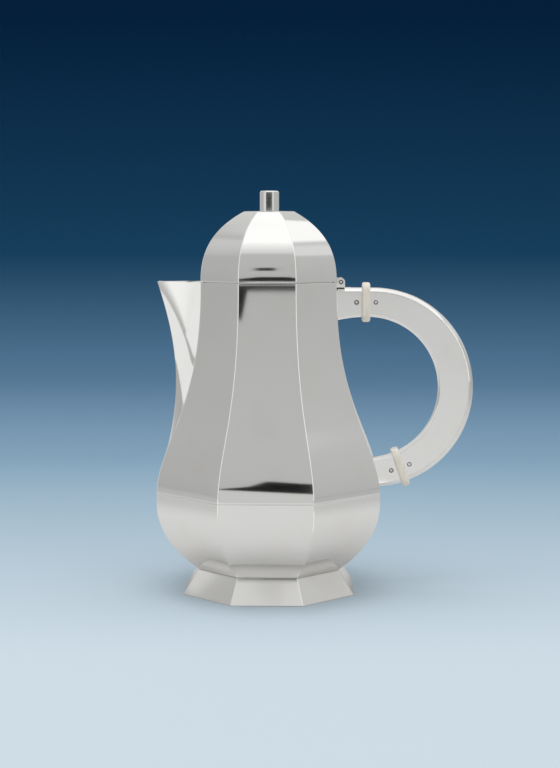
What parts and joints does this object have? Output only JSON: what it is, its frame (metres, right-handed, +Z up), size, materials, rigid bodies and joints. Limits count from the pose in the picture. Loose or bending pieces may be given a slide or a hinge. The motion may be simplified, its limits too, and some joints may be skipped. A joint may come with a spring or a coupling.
{
  "type": "coffee pot",
  "caption": "Octagonal pear-shaped silver coffee pot with a hinged dome lid, a panelled beak spout and a D handle held between two ivory-coloured insulators.",
  "frame": {"origin": "centre of the foot's underside, on the table plane", "axes": "+Z up along the pot's axis; -X towards the spout; +X towards the handle; the lid's hinge pin runs along Y"},
  "size_m": [0.1619, 0.1126, 0.205],
  "materials": {
    "polished_silver": "polished silver with a faint hand-buffed haze",
    "inner_silver": "satin silver inside the pot",
    "fastener_silver": "silver pins and nut, slightly worn",
    "ivory_insulator": "ivory-coloured insulating discs with fine grain"
  },
  "bodies": {
    "pot": {"upper_body": "polished_silver", "lower_bowl": "polished_silver", "body_base": "inner_silver", "foot": "polished_silver", "mouth_bezel": "inner_silver", "spout": "polished_silver", "upper_socket": "polished_silver", "lower_socket": "polished_silver", "body_hinge_leaf": "polished_silver", "hinge_pin": "fastener_silver", "upper_insulator": "ivory_insulator", "lower_insulator": "ivory_insulator", "handle_near_cheek": "polished_silver", "handle_far_cheek": "polished_silver", "handle_outer_band": "polished_silver", "handle_inner_band": "polished_silver", "upper_socket_pin": "fastener_silver", "upper_handle_pin": "fastener_silver", "lower_socket_pin": "fastener_silver", "lower_handle_pin": "fastener_silver"},
    "lid": {"lid_dome": "polished_silver", "lid_bezel": "inner_silver", "lid_hinge_leaf": "polished_silver", "finial": "polished_silver", "finial_nut": "fastener_silver"}
  },
  "joints": [
    {"name": "lid_hinge", "type": "hinge", "parent": "pot", "child": "lid", "pos_m": [0.03655, 0, 0.1589], "axis": [0, 1, 0], "range_deg": [0, 95]}
  ]
}
